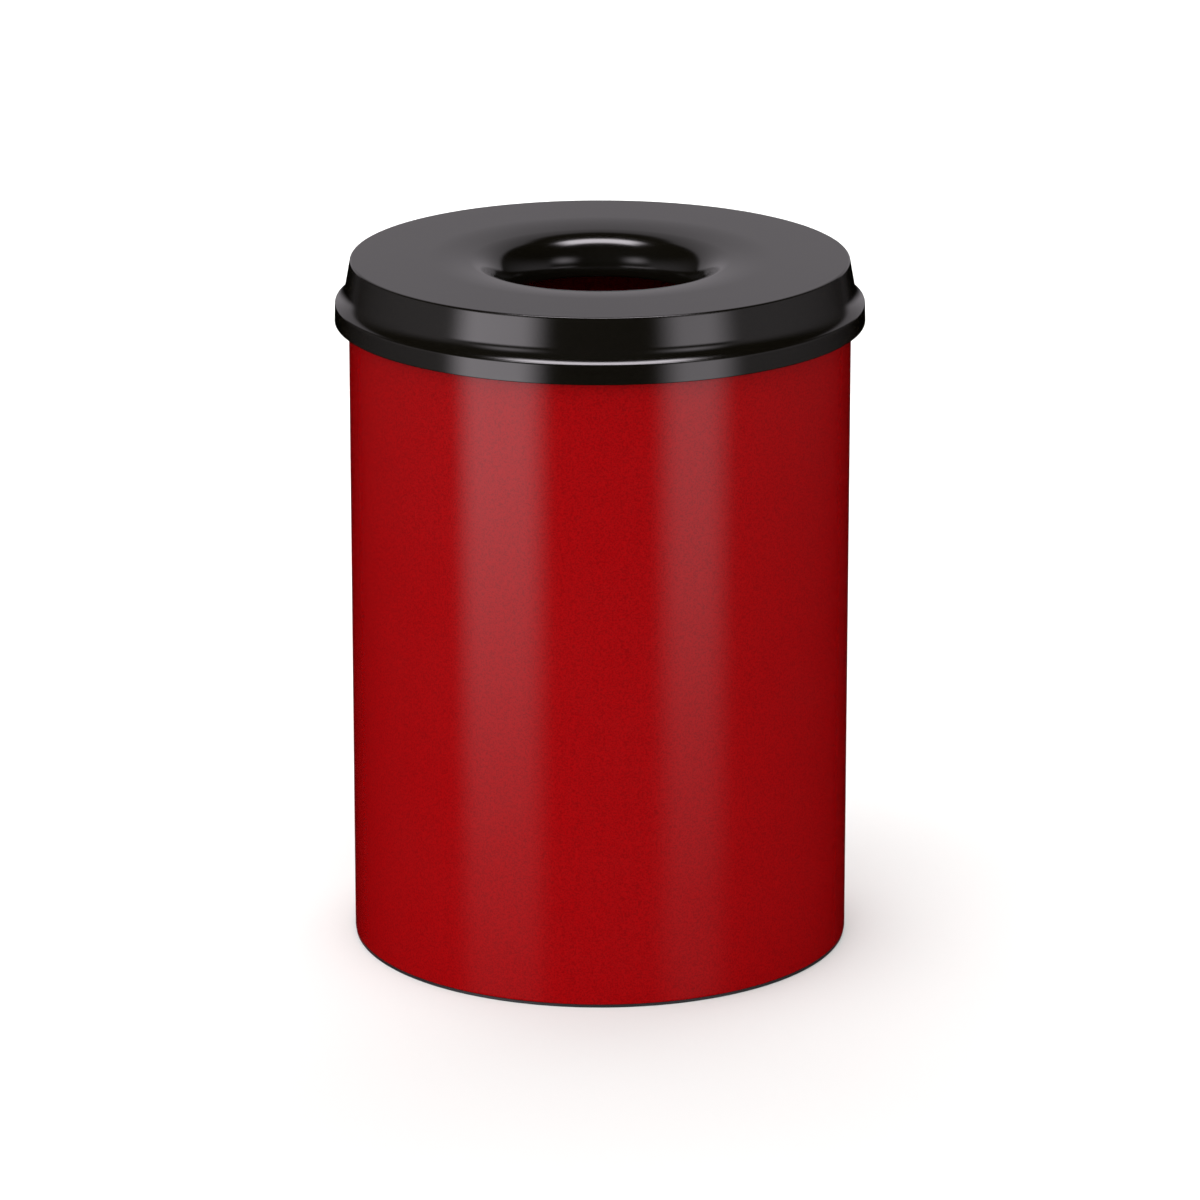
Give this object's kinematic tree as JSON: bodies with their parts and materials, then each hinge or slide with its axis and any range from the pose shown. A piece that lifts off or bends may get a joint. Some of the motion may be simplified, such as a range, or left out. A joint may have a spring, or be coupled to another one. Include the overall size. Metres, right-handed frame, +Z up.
{
  "type": "self-extinguishing waste bin",
  "caption": "Round steel waste bin with a loose flame-smothering lid whose trumpet-shaped throat turns smoke back inside.",
  "frame": {"origin": "on the floor, under the centre of the round base", "axes": "+Z up along the axis of the bin, -Y towards the front, the welded overlap of the cylinder at +Y"},
  "size_m": [0.354, 0.354, 0.47],
  "materials": {
    "red_powder_coat": "satin traffic-red powder coat on sheet steel",
    "black_powder_coat": "smooth semi-gloss black powder coat on sheet steel",
    "bright_wire": "drawn steel wire, hidden inside the rolled edges",
    "black_pvc": "matt black extruded soft plastic",
    "buffer_rubber": "matt black rubber strip"
  },
  "bodies": {
    "bin": {"body_shell": "red_powder_coat", "rim_wire": "bright_wire", "base_plate": "red_powder_coat", "floor_ring": "black_pvc"},
    "lid": {"lid_shell": "black_powder_coat", "throat_wire": "bright_wire", "lid_buffers": "buffer_rubber"}
  },
  "joints": [
    {"name": "lid_lift", "type": "slide", "parent": "bin", "child": "lid", "axis": [0, 0, 1], "range_m": [0, 0.12]}
  ]
}
